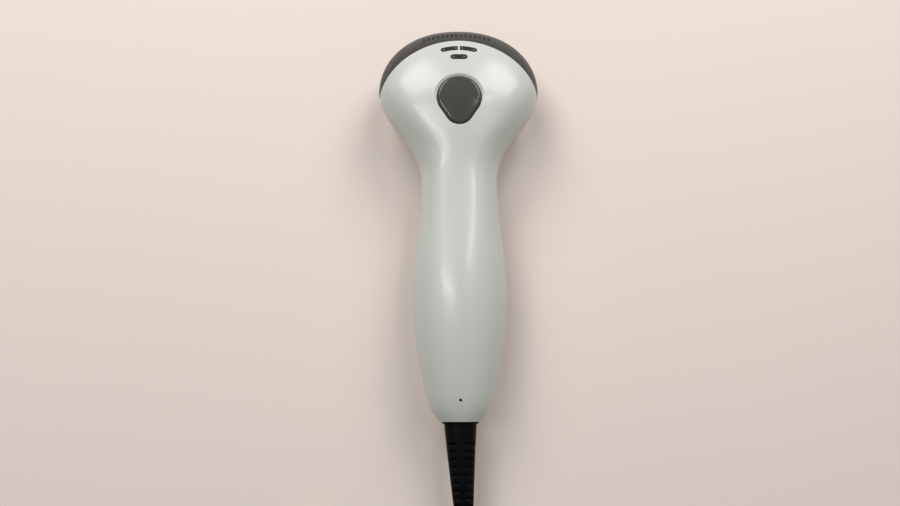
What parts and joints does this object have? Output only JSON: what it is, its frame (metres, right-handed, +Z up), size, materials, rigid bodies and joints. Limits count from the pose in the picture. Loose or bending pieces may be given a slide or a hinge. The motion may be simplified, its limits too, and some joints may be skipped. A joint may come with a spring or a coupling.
{
  "type": "handheld barcode scanner",
  "caption": "Light grey handheld laser scanner with a wide rounded head, dark front bezel, teardrop trigger and a coiled cable ending in a flat host plug.",
  "frame": {"origin": "on the surface that the scanner lies on, under the middle of its own box, the cable left out", "axes": "+Y from the cable end towards the scanning window, +X to the right seen from above, +Z up"},
  "size_m": [0.1163, 0.3609, 0.0409],
  "materials": {
    "shell": "satin light warm grey moulding",
    "bezel": "satin charcoal moulding",
    "window": "dark red polished window",
    "gasket": "matt foam",
    "button": "polished dark grey",
    "switch": "matt",
    "plunger": "matt",
    "lens": "smoked, polished",
    "lamp": "clear",
    "board": "solder mask",
    "chip": "matt",
    "beeper": "matt",
    "ribbon": "matt",
    "connector": "matt",
    "chassis": "cast",
    "steel": "ground",
    "brass": "turned",
    "clear": "clear",
    "mirror": "polished",
    "rotor": "matt",
    "magnet": "plated",
    "winding": "enamelled wire",
    "filter": "red",
    "screw": "zinc plated",
    "socket": "matt",
    "plug": "moulded",
    "contact": "gold plated",
    "cable": "satin black jacket",
    "tie": "woven",
    "plated": "nickel plated",
    "tongue": "moulded"
  },
  "bodies": {
    "housing": {"top_shell": "shell", "bottom_shell": "shell", "front_bezel": "bezel", "scan_window": "window", "window_gasket": "gasket", "trigger_switch": "switch", "status_lens_left": "lens", "status_lens_right": "lens", "status_lens_lower": "lens", "status_lamps": "lamp", "main_board": "board", "engine_board": "board", "board_chips": "chip", "beeper": "beeper", "board_ribbon": "ribbon", "ribbon_connectors": "connector", "engine_chassis": "chassis", "mirror_shaft": "steel", "laser_module": "brass", "laser_lens": "clear", "collecting_mirror": "mirror", "drive_coil": "winding", "coil_core": "steel", "photodiode": "chip", "optical_filter": "filter", "housing_screws": "screw", "engine_screws": "screw", "modular_socket": "socket", "modular_plug": "plug", "plug_contacts": "contact", "strain_relief": "cable", "cable_lead": "cable", "cable_coil": "cable", "cable_tail": "cable", "coil_tie": "tie", "usb_grip": "cable", "usb_shell": "plated", "usb_tongue": "tongue", "usb_contacts": "contact"},
    "trigger": {"trigger_button": "button"},
    "switch_stem": {"switch_plunger": "plunger"},
    "mirror": {"mirror_rotor": "rotor", "scan_mirror": "mirror", "mirror_magnet": "magnet"},
    "latch": {"plug_latch": "plug"}
  },
  "joints": [
    {"name": "trigger_press", "type": "slide", "parent": "housing", "child": "trigger", "axis": [0, 0, -1], "range_m": [0, 0.0006], "stiffness_N_per_m": 600},
    {"name": "switch_press", "type": "slide", "parent": "housing", "child": "switch_stem", "axis": [0, 0, -1], "range_m": [0, 0.00024]},
    {"name": "mirror_scan", "type": "hinge", "parent": "housing", "child": "mirror", "pos_m": [-0.001, 0.063, 0.0145], "axis": [0, 0, 1], "range_deg": [-12, 12], "stiffness_Nm_per_rad": 0.002},
    {"name": "latch_release", "type": "hinge", "parent": "housing", "child": "latch", "pos_m": [0, -0.0746, 0.02105], "axis": [1, 0, 0], "range_deg": [0, 5], "stiffness_Nm_per_rad": 0.05}
  ],
  "couplings": [
    {"joint": "switch_press", "follows": "trigger_press", "ratio": 0.4}
  ]
}
